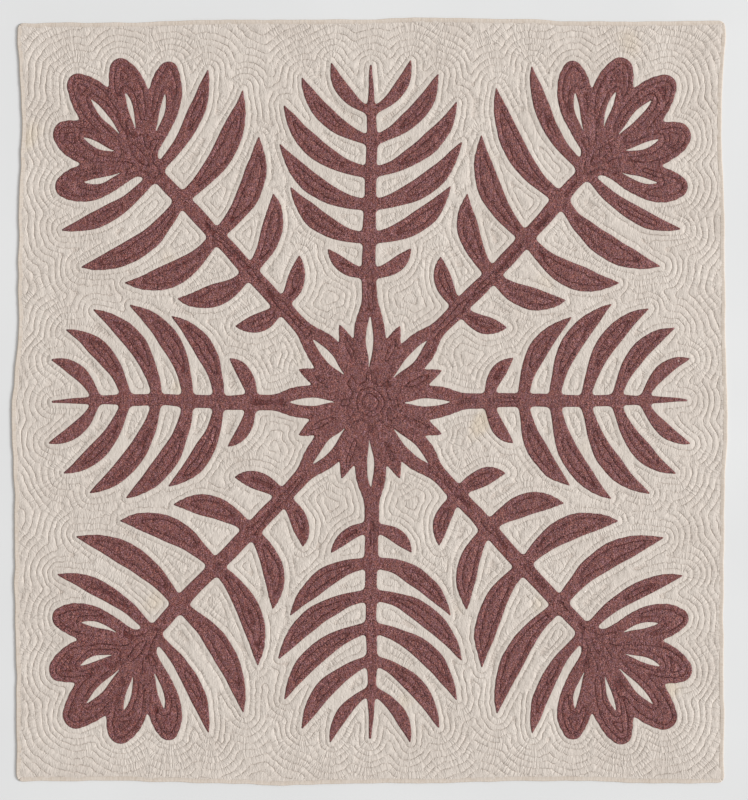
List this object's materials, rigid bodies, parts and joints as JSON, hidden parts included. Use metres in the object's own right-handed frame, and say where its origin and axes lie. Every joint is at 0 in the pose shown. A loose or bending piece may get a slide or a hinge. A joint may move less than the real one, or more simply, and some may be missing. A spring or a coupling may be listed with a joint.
{
  "type": "tivaevae applique bed quilt",
  "caption": "Large bed quilt laid flat: a maroon cut-out plant pattern applied to a cream quilted ground, echo quilting in rows around it, and narrow bound edges.",
  "frame": {"origin": "middle of the quilt's box on the surface it lies on", "axes": "+Z out of the quilt's face, +Y along its longer side towards the top, +X to the right seen from above"},
  "size_m": [1.9686, 2.1114, 0.0076],
  "materials": {
    "cream_muslin": "matte plain-woven cotton muslin, hand quilted",
    "maroon_print": "matte printed cotton with a fine heathered red and brown speckle",
    "binding_muslin": "matte cotton binding strip, folded over the edge and slightly puckered"
  },
  "bodies": {
    "root": {"ground": "cream_muslin", "applique": "maroon_print", "binding_top": "binding_muslin", "binding_bottom": "binding_muslin", "binding_left": "binding_muslin", "binding_right": "binding_muslin"}
  },
  "joints": []
}
